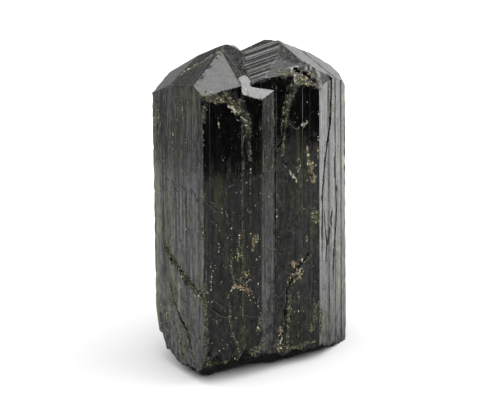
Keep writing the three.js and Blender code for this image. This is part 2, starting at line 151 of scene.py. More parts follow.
# rows of single grains
speckRows = [
    ("front", 0.06, [(1.3, 21.6), (1.5, 16), (1.4, 11)]),
    ("front", 0.06, [(4.7, 29.4), (4.8, 25), (4.9, 22)]),
    ("front", 0.08, [(3, 24.4), (3.1, 20.6)]),
    ("front", 0.08, [(6.7, 25.4), (6.8, 24.4)]),
    ("front", 0.09, [(10.6, 21), (10.9, 14), (11.1, 6), (11.3, 2.8)]),
    ("front", 0.06, [(3.1, 47), (3.2, 44)]),
    ("inner", 0.05, [(21.9, 33.6), (21.9, 26), (22, 20.4)]),
    ("inner", 0.07, [(20, 14), (20.3, 8), (20.2, 2)]),
    ("inner", 0.07, [(15.4, 31), (15.5, 26)]),
    ("inner", 0.06, [(24, 48.4), (24.1, 36)]),
    ("left", 0.07, [(10.9, 48.6), (10.7, 45.4)]),
    ("left", 0.09, [(7.4, 42.6), (7.1, 38)]),
    ("left", 0.07, [(0.6, 44.6), (0.4, 33), (0.2, 21)]),
    ("left", 0.08, [(2.4, 12), (2.2, 7)]),
    ("right", 0.05, [(9.4, 46), (9.6, 38)]),
    (None, 0.07, [(0.4, 1.4, 51.8), (2.2, 3.2, 52.9), (3.6, 4.6, 53.7)]),
]
paleVeins = [
    ("front", 0.16, [(6.4, 47.6), (7.4, 46.7), (8.6, 45.8)]),
    ("front", 0.16, [(5, 48.9), (6.2, 48.2), (7, 47.2)]),
    ("front", 0.14, [(5.2, 14.6), (5.9, 15.1), (6.3, 15.6)]),
    ("inner", 0.16, [(18.2, 34.9), (18.7, 34.1), (19.4, 33.5), (19.8, 32.8)]),
    ("inner", 0.12, [(16.9, 3.4), (16.6, 2.6), (16.4, 2)]),
    ("inner", 0.14, [(19.6, 42.6), (20.8, 43.3), (21.8, 43.6)]),
    (None, 0.13, [(1.9, 0.7, 51.6), (2.3, 0.3, 51.1)]),
]
hairlines = [
    ("left", 0.16, [(4.3, 33.5), (5.2, 33.4), (5.9, 33.2)]),
    ("left", 0.18, [(6.4, 33.4), (7.2, 33), (8.1, 32.2), (9.8, 31.5)]),
    ("left", 0.16, [(9.7, 33.2), (10.8, 33.1), (12.3, 32.6)]),
    ("left", 0.2, [(13.2, 33.4), (14, 33.1), (14.9, 32.2), (16.3, 31.8)]),
    ("left", 0.14, [(2.8, 34.6), (3.6, 34.2), (4.4, 34.3)]),
    ("left", 0.16, [(4.6, 22.5), (5.4, 21.2), (6.2, 19)]),
    ("left", 0.16, [(5.2, 16.4), (6.4, 14.2), (7.9, 12.4)]),
    ("left", 0.14, [(9.2, 12.6), (10.1, 11.6), (11.4, 11.2)]),
    ("front", 0.16, [(0.4, 32.3), (1.6, 31.2), (3.2, 29.6)]),
    ("front", 0.16, [(1.4, 32.2), (2.6, 31.6)]),
    ("front", 0.18, [(0.9, 29.8), (1.8, 28.6), (2.6, 28), (2.7, 27)]),
    ("front", 0.16, [(3.6, 33.3), (5.2, 34.4), (6.4, 34.6)]),
    ("front", 0.16, [(2.6, 24.8), (3.6, 23.6), (4.2, 22.6)]),
    ("front", 0.16, [(0.6, 13.2), (2, 11.6), (3.8, 10.2), (5.2, 9.6)]),
    ("front", 0.16, [(1.2, 12.3), (2.6, 11), (4, 9.8)]),
    ("front", 0.14, [(1.9, 13.6), (3.2, 12.6), (4.4, 11.6)]),
    ("front", 0.16, [(7.4, 10), (9.4, 9.2), (11, 8.6)]),
    ("inner", 0.16, [(20.6, 17), (21.8, 18.1), (23, 18.9)]),
    ("inner", 0.16, [(21.6, 15.6), (22.2, 16.4), (22.9, 17.2)]),
    ("inner", 0.16, [(17.4, 44.9), (18.6, 43.4), (19.6, 42.6)]),
    ("inner", 0.16, [(18, 37.6), (18.7, 36.6), (19.1, 35.4)]),
    ("right", 0.26, [(1.9, 27.6), (2.4, 22.4), (3.2, 19.4), (2.6, 14.2)]),
    ("right", 0.36, [(5.2, 25.4), (4.7, 23.6), (5, 22)]),
    ("right", 0.36, [(4.3, 22.4), (3.9, 20.4), (3.6, 18.4)]),
    ("right", 0.3, [(5.9, 36), (6.2, 33.4), (6.4, 31)]),
    ("back", 0.16, [(8.4, 44.2), (10.8, 42.6), (13.6, 42)]),
    ("back", 0.16, [(22.6, 22.4), (24.4, 20.4), (27.2, 19.6)]),
]

oliveFilms = [
    ("left", 1, [(0.5, 47), (0.5, 38), (0.7, 24), (0.6, 6)]),
    ("left", 0.6, [(9, 14), (9.2, 9)]),
    ("front", 1.8, [(2.4, 35), (2.8, 31), (3, 27)]),
    ("front", 0.9, [(4.6, 24.5), (4.4, 19.5)]),
    ("front", 1.4, [(7.6, 22), (7.8, 17)]),
    ("front", 0.8, [(11.6, 45), (11.4, 41), (11.5, 36)]),
    ("front", 1.4, [(7, 9), (7.4, 3)]),
    ("inner", 1.5, [(19.4, 33.5), (19.8, 30), (19.9, 26.5)]),
    ("inner", 1.6, [(19.5, 41), (20.5, 38)]),
    ("inner", 0.8, [(23.6, 27), (23.2, 21)]),
    ("inner", 0.8, [(23.6, 10), (23, 4)]),
    ("right", 0.7, [(9, 46), (9.2, 34), (9, 8)]),
    ("right", 0.4, [(4.9, 48), (4.6, 40)]),
    ("back", 2.6, [(8, 40), (9, 30), (12, 20)]),
    ("back", 1.6, [(24, 34), (25, 18)]),
]

# Walls by compass (0 faces the front, 90 the right): from, to, mm up to which the wall has lost
# its polish, how much grey film lies on it above and below that line, and how streaky it is.
# The film is partly painted light: its amount is set for each wall by the way it faces, so that
# walls turned to the light read lighter. On the front walls the grey below the line stands
# partly for a painted reflection of the lit table near the foot, and the streaks stand partly
# for a painted reflection of the striations
wallFilmsAndSheen = [
    (-160, -45, 37.0, 0.6, 1.1, 0.9),
    (-45, 15, 36.8, 0.02, 0.145, 0.3),
    (15, 28, 24.0, 0.32, 0.74, 0.5),
    (28, 85, 20.0, 0.9, 1.1, 0.7),
]
innerFilmAndSheen = (41.0, 0.02, 0.22, 0.4)    # the same for the sunk front wall
backFilmAndSheen = (31.0, 0.3, 0.6, 0.6)       # and for the back
innerStart = 14.4                      # mm from the front left edge at which the sunk wall starts
lineFade = (5, 19, 0.35)               # mm up between which streaks gain strength, and their least

# lengths in mm, angles in degrees
surface = {
    "columnWidth": 0.26,    # between the cuts that run up the walls
    "backWidth": 0.45,      # between them on the walls at the back
    "rowHeight": 0.85,      # between the level cuts
    "faceGrid": 0.34,       # between the cuts on the end faces
    "footGrid": 0.55,       # and on the broken foot
    "wallSlope": 0.45,      # a face whose normal rises less than this is a wall
    "weld": 0.001,          # the loose triangles' corners are joined within this distance
    "closest": 0.002,       # corners of the cut surface that lie closer are merged
    # edges are halved within so many radii and some more mm of a vein or crack, down to a length
    "veinCuts": [(1.6, 0.15, 0.42), (1.4, 0.1, 0.3)],
    "crackCuts": [(0, 0.6, 0.42), (0, 0.45, 0.25)],
    "flatAngle": 0.4,       # flatter joints are dissolved before the cutting
    "facetAngle": 4.0,      # the edge between the solid's faces stays sharp above this angle
    "sharpAngle": 26.0,     # the same on the worn surface
    "rimAngle": 34,         # the solid's edges sharper than this are chipped
    "rimLength": 1.2,       # if they are longer than this
    "rimStep": 0.3,         # between the points kept along them
    "chipReach": 0.55,      # from such an edge
    "chipDepth": 0.24,
    "veinDepth": 0.22,      # that the crusted veins are eaten in
    "crackDepth": 0.14,
    "lineDepth": 0.012,     # of the growth lines
    "ribDepth": 0.016,      # more on the ribbed right walls
    "ribbed": (18, 28, 80, 95),     # compass over which that comes in and goes out
    "stepDepth": 0.05,      # of the growth steps on the striped faces
    "stepPitch": 0.9,
    "faceDepth": 0.010,     # of the end faces' ripple
    "footDepth": 0.2,       # of the foot's lumps
    "rippleSize": 0.9,
    "fineLines": (0.4, 9.0),        # size of the growth lines across the crystal and along it
    "broadLines": (1.1, 30.0),
    "chipSizes": (1.3, 0.5),        # of the chipping's coarse and fine noise
    "pitSizes": (0.6, 0.28),        # and of the veins'
    "reach": {"crust": 2.6, "tan": 1.7, "pale": 2.2, "olive": 2.0},     # of the masks, in radii
}


def keptInBox(place):
    # the place, moved onto the CAD box where it lies outside it
    return Vector([min(high, max(low, value)) for value, low, high in zip(place, boxLow, boxHigh)])


def newPiece(name, mesh):
    data = bpy.data.meshes.new(name)
    mesh.to_mesh(data)
    mesh.free()
    piece = bpy.data.objects.new(name, data)
    scene.collection.objects.link(piece)
    return piece


cutSnap = 0.012         # mm from a cut within which a corner counts as on it


def sliceFaces(mesh, faces, axis, step):
    # parallel cuts across the faces; each cut only works on what still lies beyond it
    axis = Vector(axis)
    if not faces:
        return
    places = [v.co.dot(axis) for f in faces for v in f.verts]
    place = min(places) + step * 0.5
    end = max(places)
    rest = faces
    while place < end and rest:
        geom = set(rest)
        for f in rest:
            geom.update(f.edges)
            geom.update(f.verts)
        cut = bmesh.ops.bisect_plane(mesh, geom=list(geom), dist=cutSnap * mm,
                                     plane_co=axis * place, plane_no=axis)
        beyond = place + step * 0.2
        rest = [f for f in cut["geom"]
                if isinstance(f, bmesh.types.BMFace) and max(v.co.dot(axis) for v in f.verts) > beyond]
        place += step


def rimsOf(mesh, settings):
    # points along the crystal's sharp outer edges
    edges = [e for e in mesh.edges if e.calc_length() > settings["rimLength"] * mm and e.is_convex
             and e.calc_face_angle(0) > math.radians(settings["rimAngle"])]
    points = []
    for e in edges:
        a, b = (v.co.copy() for v in e.verts)
        count = max(1, round((b - a).length / (settings["rimStep"] * mm)))
        points += [a.lerp(b, i / count) for i in range(count + 1)]
    rims = KDTree(len(points))
    for i, point in enumerate(points):
        rims.insert(point, i)
    rims.balance()
    return rims


def cleanUp(mesh, closest):
    # takes out triangles that have no height and edges shorter than closest
    if closest > 0:
        bmesh.ops.dissolve_degenerate(mesh, dist=closest * mm, edges=mesh.edges)
    bmesh.ops.triangulate(mesh, faces=[f for f in mesh.faces if len(f.verts) > 3],
                          quad_method="BEAUTY", ngon_method="BEAUTY")
    mesh.verts.index_update()


def refined(node, settings):
    # a copy of the CAD solid, cut fine enough to carry its growth lines and its wear
    mesh = bmesh.new()
    mesh.from_mesh(node.data)
    bmesh.ops.remove_doubles(mesh, verts=mesh.verts, dist=settings["weld"] * mm)
    mesh.normal_update()
    rims = rimsOf(mesh, settings)
    bmesh.ops.dissolve_limit(mesh, angle_limit=math.radians(settings["flatAngle"]),
                             verts=mesh.verts, edges=mesh.edges)
    mesh.normal_update()
    slope = settings["wallSlope"]
    for low, high, grid in ((slope, 2, settings["faceGrid"]), (-2, -slope, settings["footGrid"])):
        for axis in ((1, 0, 0), (0, 1, 0)):
            sliceFaces(mesh, [f for f in mesh.faces if low <= f.normal.z <= high], axis, grid * mm)
    upright = [f for f in mesh.faces if abs(f.normal.z) < slope]
    hidden = [f for f in upright if f.normal.y > 0.5]
    behind = [f for f in hidden if f.normal.y >= abs(f.normal.x)]
    behindSide = [f for f in hidden if f.normal.y < abs(f.normal.x)]
    facing = [f for f in upright if -f.normal.y >= abs(f.normal.x)]
    sideways = [f for f in upright if f.normal.y <= 0.5 and -f.normal.y < abs(f.normal.x)]
    for across, along, width in ((behind, behindSide, "backWidth"), (facing, sideways, "columnWidth")):
        sliceFaces(mesh, across, (1, 0, 0), settings[width] * mm)
        sliceFaces(mesh, along, (0, 1, 0), settings[width] * mm)
    upright = [f for f in mesh.faces if abs(f.normal.z) < slope]
    sliceFaces(mesh, upright, (0, 0, 1), settings["rowHeight"] * mm)
    cleanUp(mesh, 0)
    cleanUp(mesh, settings["closest"] / 4)
    mesh.normal_update()
    return mesh, rims


def pathPoints(path):
    wall, points = path[0], path[-1]
    if wall is None:
        return [onCrystal(*p) for p in points]
    return [onWall(wall, *p) for p in points]


def distanceTo(points, spots):
    # shortest distance in mm from every spot to a path
    best = np.full(len(spots), 1e3)
    for a, b in zip(points, points[1:]):
        a = np.array(a)
        run = np.array(b) - a
        share = np.clip((spots - a) @ run / (run @ run), 0, 1)
        best = np.minimum(best, np.linalg.norm(spots - a - share[:, None] * run, axis=1) / mm)
    return best


def veinMask(paths, spots, spread):
    # 1 on the veins, falling to 0 at spread times their radius
    mask = np.zeros(len(spots))
    for path in paths:
        reach = spread * path[1]
        mask = np.maximum(mask, np.clip(1 - distanceTo(pathPoints(path), spots) / reach, 0, 1))
    return mask


hairlineReach = 0.6     # mm
taper = 0.5             # mm by which a hairline narrows toward its ends
cutOff = 4              # how fast it ends past them


def crackMasks(paths, spots, wallNormals):
    # radii to the nearest hairline, positive on one side of it and negative on the other, and a
    # mask that is 1 on it and falls to 0 at hairlineReach
    nearest = np.full(len(spots), 2.0)
    signed = np.full(len(spots), 9.0)
    for path in paths:
        points = pathPoints(path)
        legs = len(points) - 1
        for leg, (a, b) in enumerate(zip(points, points[1:])):
            a = np.array(a)
            run = np.array(b) - a
            along = (spots - a) @ run / (run @ run)
            share = np.clip(along, 0, 1)
            off = spots - a - share[:, None] * run
            fromMiddle = np.abs((leg + share) / legs * 2 - 1)
            past = np.abs(along - share) * np.linalg.norm(run) / mm
            away = np.linalg.norm(off, axis=1) / mm + taper * fromMiddle ** 8 + cutOff * past
            side = np.sign(np.einsum("ij,ij->i", np.cross(run, off), wallNormals))
            side[side == 0] = 1
            nearer = away < nearest
            nearest[nearer] = away[nearer]
            signed[nearer] = (away * side)[nearer] / path[1]
    return signed, np.clip(1 - nearest / hairlineReach, 0, 1)


def waves(place, across, along, octaves=2):
    # noise stretched up the crystal: across and along are its grain in mm
    spot = Vector((place.x / across, place.y / across, place.z / along)) / mm
    return noise.fractal(spot, 0.8, 2.1, octaves)


def twoNoises(place, sizes, share):
    # noise of two sizes in mm, the second at a share of the first's strength
    return noise.noise(place / (sizes[0] * mm)) + share * noise.noise(place / (sizes[1] * mm))


def smoothStep(low, high, value):
    share = min(1.0, max(0.0, (value - low) / (high - low)))
    return share * share * (3 - 2 * share)


def compassOf(normal):
    return math.degrees(math.atan2(normal.x, -normal.y))


def faceNormal(compass, slope):
    compass, slope = math.radians(compass), math.radians(slope)
    level = math.sin(slope)
    return Vector((math.sin(compass) * level, -math.cos(compass) * level, math.cos(slope)))


# the striped end faces: normal, normal of the face that their stripes run along, strength, and
# the side of the notch, 1 for the right
frontWallNormal = Vector((0, -1, 0))
kiteNormal = faceNormal(-17.1, 26.8)
notchPlace = 9.6    # mm from the front left edge
stripedFaces = [(normal, normal.cross(normal.cross(beside)).normalized(), strength, side)
                for normal, beside, strength, side in (
                    (faceNormal(-33.2, 20.9), frontWallNormal, 1.0, 1),
                    (faceNormal(-102.3, 30.6), kiteNormal, 0.45, -1),
                    (faceNormal(27.6, 31.1), kiteNormal, 0.45, -1))]


def stripesAt(place, normal):
    # how striped the face is here, and how far across its stripes the place lies in mm
    right = 1 if (place.x - edgeOrigin.x) / mm > notchPlace else -1
    for faceDirection, across, strength, side in stripedFaces:
        match = smoothStep(0.975, 0.995, normal.dot(faceDirection))
        if side == right and match > 0:
            return match * strength, place.dot(across) / mm
    return 0.0, 0.0


def filmAndSheenOf(place, normal):
    # mm above (+) or below (-) the line under which the wall is dull, its two amounts of film and
    # painted sheen, and its share of streaks, which fade toward the foot
    across = (place - edgeOrigin) / mm
    compass = compassOf(normal)
    line, above, below, lined = backFilmAndSheen
    for start, end, *filmAndSheen in wallFilmsAndSheen:
        if start < compass <= end:
            line, above, below, lined = filmAndSheen
    if -45 < compass <= 15 and across.x > innerStart:
        line, above, below, lined = innerFilmAndSheen
    start, end, least = lineFade
    lined *= least + (1 - least) * smoothStep(start, end, across.z)
    return across.z - line, above, below, lined


def closeUp(mesh, paths, radii, more, longest):
    # halves the long edges near the paths, so that pits and cracks can be worked in there; near
    # means within so many radii and some more mm
    spots = np.array([v.co for v in mesh.verts])
    near = np.zeros(len(spots), dtype=bool)
    for path in paths:
        near |= distanceTo(pathPoints(path), spots) < radii * path[1] + more
    mesh.verts.index_update()
    edges = [e for e in mesh.edges
             if near[e.verts[0].index] and near[e.verts[1].index] and e.calc_length() > longest * mm]
    bmesh.ops.subdivide_edges(mesh, edges=edges, cuts=1)
    cleanUp(mesh, 0)


def upDown(normal):
    # how far the surface there counts as an end face, and how far as the foot
    return smoothStep(0.3, 0.6, normal.z), smoothStep(0.3, 0.6, -normal.z)


def depthAt(place, normal, rim, stripes, eaten, crackle, settings):
    # how far in the surface lies behind the solid's face, in mm
    faceShare, footShare = upDown(normal)
    wallShare = 1 - max(faceShare, footShare)
    compass = compassOf(normal)
    start, full, fade, end = settings["ribbed"]
    ribbed = smoothStep(start, full, compass) * (1 - smoothStep(fade, end, compass))
    ripple = settings["rippleSize"]
    depth = 0.0
    if wallShare > 0:
        fine = waves(place, *settings["fineLines"])
        broad = waves(place + Vector((0.3, 0.1, 0)) * mm, *settings["broadLines"])
        size = settings["lineDepth"] + settings["ribDepth"] * ribbed
        depth += wallShare * (size * (0.5 + fine) + size * 1.2 * (0.4 + broad))
    if faceShare > 0:
        striped, comb = stripes
        steps = noise.noise(Vector((comb / settings["stepPitch"], 7.7, place.z / mm / 20)))
        depth += striped * settings["stepDepth"] * (0.5 + steps)
        depth += faceShare * settings["faceDepth"] * (1 + waves(place, ripple, ripple))
    if footShare > 0:
        depth += footShare * settings["footDepth"] * (0.6 + waves(place, ripple, ripple, 3))
    chip = twoNoises(place, settings["chipSizes"], 0.6)
    edge = max(0.0, 1 - rim / settings["chipReach"])
    depth += settings["chipDepth"] * edge * edge * smoothStep(-0.15, 0.75, chip)
    if eaten > 0:
        pitted = 0.3 + twoNoises(place, settings["pitSizes"], 0.7)
        depth += settings["veinDepth"] * smoothStep(0.1, 0.6, eaten) * max(0.0, pitted)
    depth += settings["crackDepth"] * (1 - smoothStep(0.1, 1.2, abs(crackle)))
    return max(0.0, depth)


def buildCrystal(settings):
    mesh, rims = refined(crystalNode, settings)
    veins = crustVeins + tanVeins + rustVeins + paleVeins
    for cut in settings["veinCuts"]:
        closeUp(mesh, veins, *cut)
    for cut in settings["crackCuts"]:
        closeUp(mesh, hairlines, *cut)
    cleanUp(mesh, settings["closest"])
    mesh.normal_update()
    facet = math.radians(settings["facetAngle"])
    for e in mesh.edges:
        e.smooth = e.calc_face_angle(0) < facet
    print("crystal cut into", len(mesh.faces), "faces")
    spots = np.array([v.co for v in mesh.verts])
    normals = np.array([v.normal for v in mesh.verts])
    hairline, hairNear = crackMasks(hairlines, spots, normals)
    masked = {"crust": crustVeins, "tan": tanVeins + rustVeins, "pale": paleVeins, "olive": oliveFilms}
    masks = {name: veinMask(paths, spots, settings["reach"][name]) for name, paths in masked.items()}
    masks.update(hairline=hairline, hairNear=hairNear)
    filmAndSheenNames = ["level", "sheenFilmHigh", "sheenFilmLow", "lined"]
    names = list(masks) + filmAndSheenNames + ["rim", "striped", "comb", "kind"]
    layers = {name: mesh.verts.layers.float.new(name) for name in names}
    moves = []
    for i, v in enumerate(mesh.verts):
        place, normal = v.co, v.normal
        for name, values in masks.items():
            v[layers[name]] = values[i]
        rim = rims.find(place)[2] / mm
        stripes = stripesAt(place, normal)
        v[layers["striped"]], v[layers["comb"]] = stripes
        v[layers["rim"]] = min(rim, 3.0)
        for name, value in zip(filmAndSheenNames, filmAndSheenOf(place, normal)):
            v[layers[name]] = value
        faceShare, footShare = upDown(normal)
        v[layers["kind"]] = faceShare - footShare
        eaten = max(masks["crust"][i], masks["tan"][i], masks["pale"][i])
        depth = depthAt(place, normal, rim, stripes, eaten, hairline[i], settings)
        moves.append(-normal * depth * mm)
    for v, move in zip(mesh.verts, moves):
        v.co = keptInBox(v.co + move)
    mesh.normal_update()
    sharp = math.radians(settings["sharpAngle"])
    for f in mesh.faces:
        f.smooth = True
    for e in mesh.edges:
        e.smooth = e.smooth and e.calc_face_angle(0) < sharp
    tree = BVHTree.FromBMesh(mesh)
    piece = newPiece("aegirine_surface", mesh)
    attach(piece, "root")
    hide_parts("aegirine_crystal")
    return piece, tree


crystal, crystalTree = buildCrystal(surface)
print("crystal surface worked")


# grains of crust that sit in the veins and lie scattered on the walls, lengths in mm
crumbs = {
    "perMillimetre": 18.0,      # along a vein of 0.3 mm radius
    "size": (0.05, 0.15),
    "brightTone": 0.42,         # a share of the grains above this tone is larger
    "bigShare": 0.4,
    "bigger": 1.8,
    "width": (0.7, 1.5),        # a grain's extents along the surface, in sizes
    "length": (0.6, 1.1),
    "flatness": 0.6,
    "jitter": 0.35,
    "spread": 0.85,             # scatter to the sides, in radii
    "wander": 1.1,              # how far a vein strays from its path, in radii
    "wanderSize": 1.6,
    "gap": 0.12,                # the higher, the more gaps there are along a vein
    "gapSizes": (0.9, 2.6),     # of the small and the large gaps
    "strays": 800,
    "straySize": (0.035, 0.12),
    "strayWalls": ["left", "front", "inner", "right", "back", "front", "inner"],
    "strayHeight": 52,
    "cleanAbove": 37.0,         # few lie on the polished front walls above this height
    "cleanShare": 0.85,         # of the grains there that are left out
    "perBatch": 60,
    "seed": 77,
}
# tones run from dark olive over yellow and tan to cream: share of the crumbs, from, to; the cream
# end is partly painted highlight on the grains
crustTones = [(0.64, 0.0, 0.18), (0.2, 0.18, 0.36), (0.09, 0.42, 0.56), (0.07, 0.88, 1.0)]
tanTones = [(0.3, 0.0, 0.3), (0.25, 0.5, 0.6), (0.27, 0.6, 0.7), (0.18, 0.88, 1.0)]
rustTones = [(0.2, 0.1, 0.5), (0.15, 0.62, 0.72), (0.6, 0.76, 0.84), (0.05, 0.9, 1.0)]
paleTones = [(0.25, 0.1, 0.4), (0.75, 0.86, 1.0)]
speckTones = [(0.35, 0.25, 0.45), (0.25, 0.45, 0.56), (0.4, 0.88, 1.0)]
strayTones = [(0.4, 0.1, 0.4), (0.32, 0.42, 0.56), (0.28, 0.88, 1.0)]


def pickTone(tones, draw):
    chance = draw.random()
    for share, low, high in tones:
        if chance < share:
            return draw.uniform(low, high)
        chance -= share
    return draw.uniform(tones[-1][1], tones[-1][2])


def addCrumb(mesh, layer, tone, spot, normal, size, settings, draw):
    turn = normal.to_track_quat("Z", "Y").to_matrix().to_4x4()
    spin = Matrix.Rotation(draw.uniform(0, math.tau), 4, "Z")
    wide = size * draw.uniform(*settings["width"])
    long = size * draw.uniform(*settings["length"])
    stretch = Matrix.Diagonal((wide, long, size * settings["flatness"], 1))
    place = Matrix.Translation(spot) @ turn @ spin @ stretch
    made = bmesh.ops.create_icosphere(mesh, subdivisions=1, radius=1.0, matrix=place)
    for v in made["verts"]:
        swell = draw.uniform(1 - settings["jitter"], 1 + settings["jitter"])
        v.co = keptInBox(spot + (v.co - spot) * swell)
        v[layer] = tone


def addBatch(whole, batch, settings, draw):
    # the crumbs of one batch are shaped in a small mesh of their own and then joined to the rest
    part = bmesh.new()
    layer = part.verts.layers.float.new("tone")
    for crumb in batch:
        addCrumb(part, layer, *crumb, settings, draw)
    data = bpy.data.meshes.new("crumb batch")
    part.to_mesh(data)
    part.free()
    whole.from_mesh(data)
    bpy.data.meshes.remove(data)


def veinGrains(path, tones, settings, draw):
    # tone, place, normal and size of every grain along one vein
    laid = []
    radius = path[1]
    points = pathPoints(path)
    for a, b in zip(points, points[1:]):
        count = round((b - a).length / mm * settings["perMillimetre"] * (radius / 0.3) ** 0.8)
        for _ in range(count):
            spot = a.lerp(b, draw.random())
            if twoNoises(spot, settings["gapSizes"], 0.8) < settings["gap"]:
                continue
            wobble = noise.noise_vector(spot / (settings["wanderSize"] * mm))
            wobble = wobble * radius * settings["wander"]
            scatter = Vector([draw.gauss(0, radius * settings["spread"]) for _ in range(3)])
            spot, normal, _, _ = crystalTree.find_nearest(spot + (wobble + scatter) * mm)
            tone = pickTone(tones, draw)
            size = draw.uniform(*settings["size"]) * min(1.0, 0.6 + radius) * mm
            if tone > settings["brightTone"] and draw.random() < settings["bigShare"]:
                size *= settings["bigger"]
            laid.append((tone, spot, normal, size))
    return laid


def strayGrains(settings, draw):
    # the same for the grains strewn on the walls
    laid = []
    for _ in range(settings["strays"]):
        wall = draw.choice(settings["strayWalls"])
        up = draw.uniform(0, settings["strayHeight"])
        polished = wall in ("front", "inner") and up > settings["cleanAbove"]
        if polished and draw.random() < settings["cleanShare"]:
            continue
        across = draw.uniform(0, 24 if wall in ("inner", "back") else 12)
        spot, normal, _, _ = crystalTree.find_nearest(onWall(wall, across, up))
        tone = pickTone(strayTones, draw)
        laid.append((tone, spot, normal, draw.uniform(*settings["straySize"]) * mm))
    return laid


def buildCrumbs(settings):
    draw = random.Random(settings["seed"])
    noise.seed_set(settings["seed"])    # noise_vector depends on it
    laid = []
    for paths, tones in ((crustVeins, crustTones), (tanVeins, tanTones), (rustVeins, rustTones),
                         (paleVeins, paleTones), (speckRows, speckTones)):
        for path in paths:
            laid += veinGrains(path, tones, settings, draw)
    laid += strayGrains(settings, draw)
    whole = bmesh.new()
    for start in range(0, len(laid), settings["perBatch"]):
        addBatch(whole, laid[start:start + settings["perBatch"]], settings, draw)
    piece = newPiece("vein_crumbs", whole)
    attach(piece, "root")
    return piece


veinCrumbs = buildCrumbs(crumbs)
print("crumbs laid:", len(veinCrumbs.data.polygons), "faces")


class Board:
    # a small helper that adds nodes to a tree and links their inputs
    def __init__(self, tree):
        self.tree = tree
        self.column = 0

    def plug(self, value, socket):
        if isinstance(value, bpy.types.NodeSocket):
            self.tree.links.new(value, socket)
        else:
            socket.default_value = value

    def add(self, kind, inputs=None, **options):
        node = self.tree.nodes.new(kind)
        node.location = (self.column * 180, 0)
        self.column += 1
        for name, value in options.items():
            setattr(node, name, value)
        for name, value in (inputs or {}).items():
            self.plug(value, node.inputs[name])
        return node

    def math(self, operation, a, b=0):
        return self.add("ShaderNodeMath", {0: a, 1: b}, operation=operation).outputs[0]

    def chain(self, operation, values):
        total = values[0]
        for value in values[1:]:
            total = self.math(operation, total, value)
        return total

    def plus(self, *values):
        return self.chain("ADD", values)

    def times(self, *values):
        return self.chain("MULTIPLY", values)

    def most(self, *values):
        return self.chain("MAXIMUM", values)

    def less(self, a, b):
        return self.math("SUBTRACT", a, b)

    def around(self, value, amount):
        # swings about nothing by amount while the value goes from 0 to 1
        return self.times(self.less(value, 0.5), amount * 2)

    def range(self, value, low, high, toLow=0, toHigh=1):
        inputs = {"Value": value, "From Min": low, "From Max": high, "To Min": toLow, "To Max": toHigh}
        node = self.add("ShaderNodeMapRange", inputs, interpolation_type="SMOOTHSTEP")
        return node.outputs["Result"]

    def noise(self, vector, detail=2, roughness=0.55, distortion=0):
        inputs = {"Vector": vector, "Scale": 1, "Detail": detail, "Roughness": roughness,
                  "Distortion": distortion}
        return self.add("ShaderNodeTexNoise", inputs).outputs["Fac"]

    def stretch(self, vector, scale, location=(0, 0, 0)):
        inputs = {"Vector": vector, "Scale": scale, "Location": location}
        return self.add("ShaderNodeMapping", inputs).outputs["Vector"]

    def perMetre(self, size):
        # how often a length of size mm goes into a metre
        return self.math("DIVIDE", 1000, size)

    def grained(self, vector, wide, long):
        # scales a place by wide across the crystal and by long along it
        scale = self.add("ShaderNodeCombineXYZ", {"X": wide, "Y": wide, "Z": long}).outputs[0]
        return self.add("ShaderNodeVectorMath", {0: vector, 1: scale}, operation="MULTIPLY").outputs[0]

    def scaled(self, vector, factor):
        inputs = {0: vector, "Scale": factor}
        return self.add("ShaderNodeVectorMath", inputs, operation="SCALE").outputs[0]

    def attribute(self, name):
        return self.add("ShaderNodeAttribute", attribute_name=name).outputs["Fac"]

    def mixed(self, factor, a, b):
        return self.add("ShaderNodeMix", {0: factor, 6: a, 7: b}, data_type="RGBA").outputs[2]

    def mixedValue(self, factor, a, b):
        return self.add("ShaderNodeMix", {0: factor, 2: a, 3: b}, data_type="FLOAT").outputs[0]

    def group(self, tree, vector, **inputs):
        return self.add("ShaderNodeGroup", {"Vector": vector, **inputs}, node_tree=tree).outputs

    def ramp(self, value, stops):
        # a colour ramp through (place, colour or grey level) stops
        ramp = self.add("ShaderNodeValToRGB", {0: value})
        elements = ramp.color_ramp.elements
        elements.remove(elements[1])
        for i, (spot, color) in enumerate(stops):
            stop = elements[0] if i == 0 else elements.new(spot)
            stop.position = spot
            stop.color = color if isinstance(color, tuple) else (color, color, color, 1)
        return ramp.outputs[0]


def newGroup(name, inputs, outputs):
    # a node group with a Vector input and the named numbers in and out
    group = bpy.data.node_groups.new(name, "ShaderNodeTree")
    group.interface.new_socket("Vector", in_out="INPUT", socket_type="NodeSocketVector")
    for names, way in ((inputs, "INPUT"), (outputs, "OUTPUT")):
        for socket in names:
            group.interface.new_socket(socket, in_out=way, socket_type="NodeSocketFloat")
    board = Board(group)
    source = group.nodes.new("NodeGroupInput").outputs
    target = group.nodes.new("NodeGroupOutput").inputs
    return group, board, source, target


def growthLines():
    # fine lines up the crystal: a height for the bump and a tone for colour and roughness
    group, board, source, target = newGroup("growth lines", ["Width", "Length"],
                                            ["Height", "Tone", "Scratch"])
    wide, long = board.perMetre(source["Width"]), board.perMetre(source["Length"])
    spot = board.grained(source["Vector"], wide, long)
    fine = board.noise(spot, 3, 0.6)
    broad = board.noise(board.stretch(spot, (0.24, 0.24, 0.4), (7.3, 1.9, 0.4)))
    height = board.plus(board.times(fine, 0.6), board.times(broad, 0.4))
    scratch = board.noise(board.stretch(spot, (1.7, 1.7, 0.35), (2.2, 8.1, 3.3)))
    board.plug(height, target["Height"])
    board.plug(board.range(height, 0.36, 0.64), target["Tone"])
    board.plug(board.range(scratch, 0.64, 0.72), target["Scratch"])
    return group


def mottle():
    # soft patches that run with the length, for stains and lost polish
    group, board, source, target = newGroup("mottle", ["Size", "Stretch"], ["Value"])
    wide = board.perMetre(source["Size"])
    spot = board.grained(source["Vector"], wide, board.math("DIVIDE", wide, source["Stretch"]))
    board.plug(board.noise(spot, 5, 0.62, 0.3), target["Value"])
    return group


